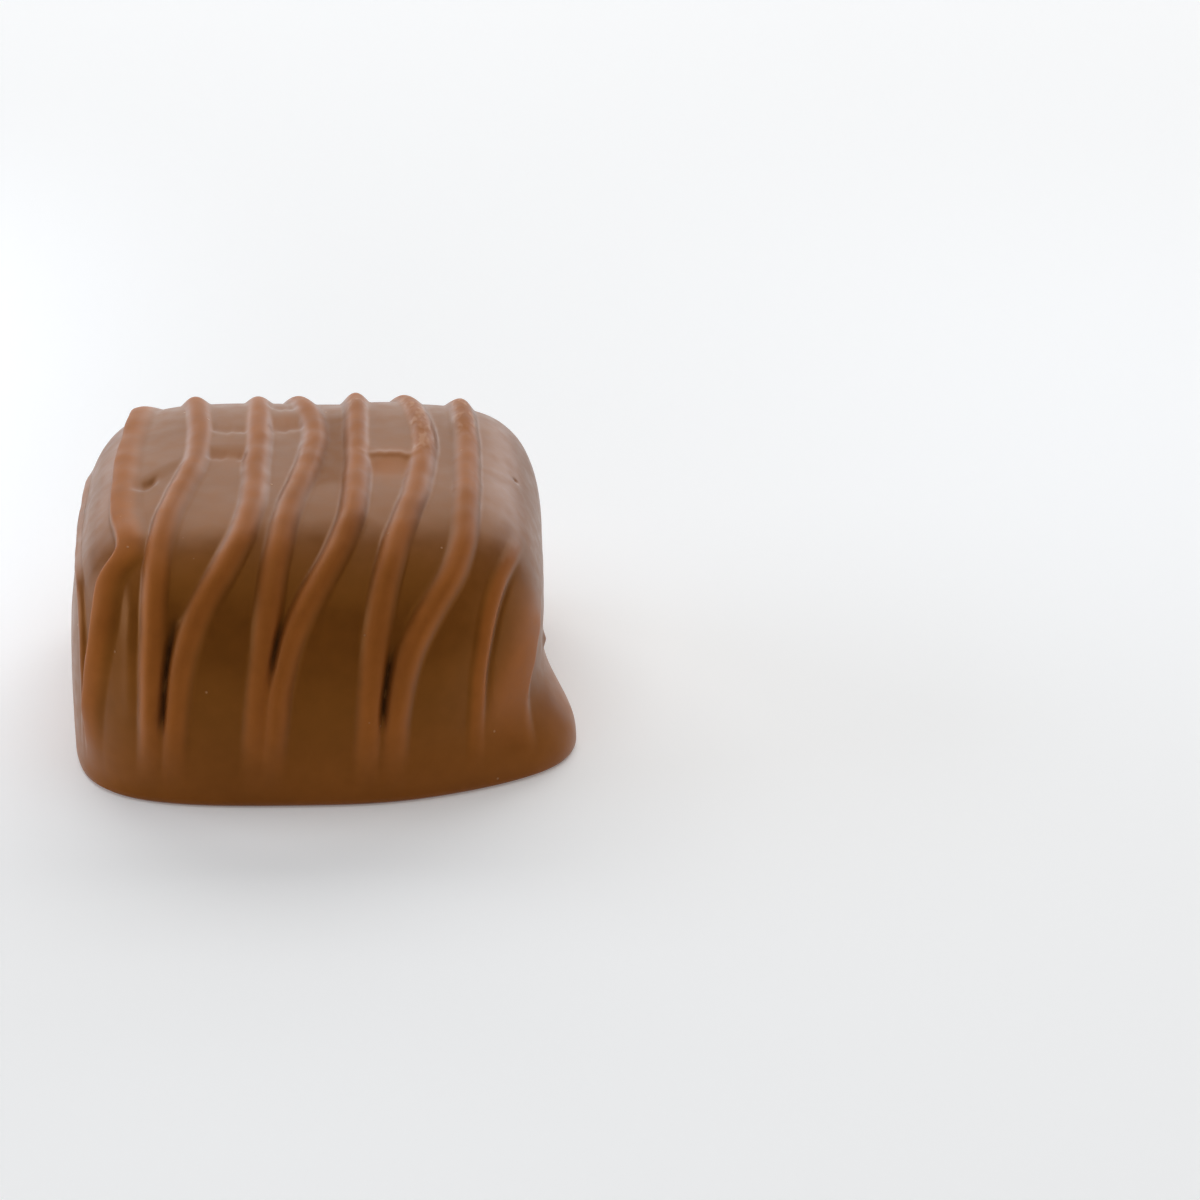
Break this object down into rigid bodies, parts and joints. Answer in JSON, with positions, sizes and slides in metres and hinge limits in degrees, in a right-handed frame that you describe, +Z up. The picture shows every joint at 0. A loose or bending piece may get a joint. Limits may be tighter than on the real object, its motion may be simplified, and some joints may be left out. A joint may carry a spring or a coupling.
{
  "type": "chocolate meltaway",
  "caption": "Square milk chocolate sweet with soft shoulders and raised strings of chocolate zigzagging over it; rests on its flat base.",
  "frame": {"origin": "middle of the flat base, under the middle of the square block", "axes": "+Z up from the base, -Y towards the front face where the strings lean most, +X to the right"},
  "size_m": [0.029, 0.0289, 0.0153],
  "materials": {
    "milk_chocolate": "satin, as set milk chocolate: soft sheen, broad highlights, no mirror gloss"
  },
  "bodies": {
    "root": {"chocolate": "milk_chocolate"}
  },
  "joints": []
}
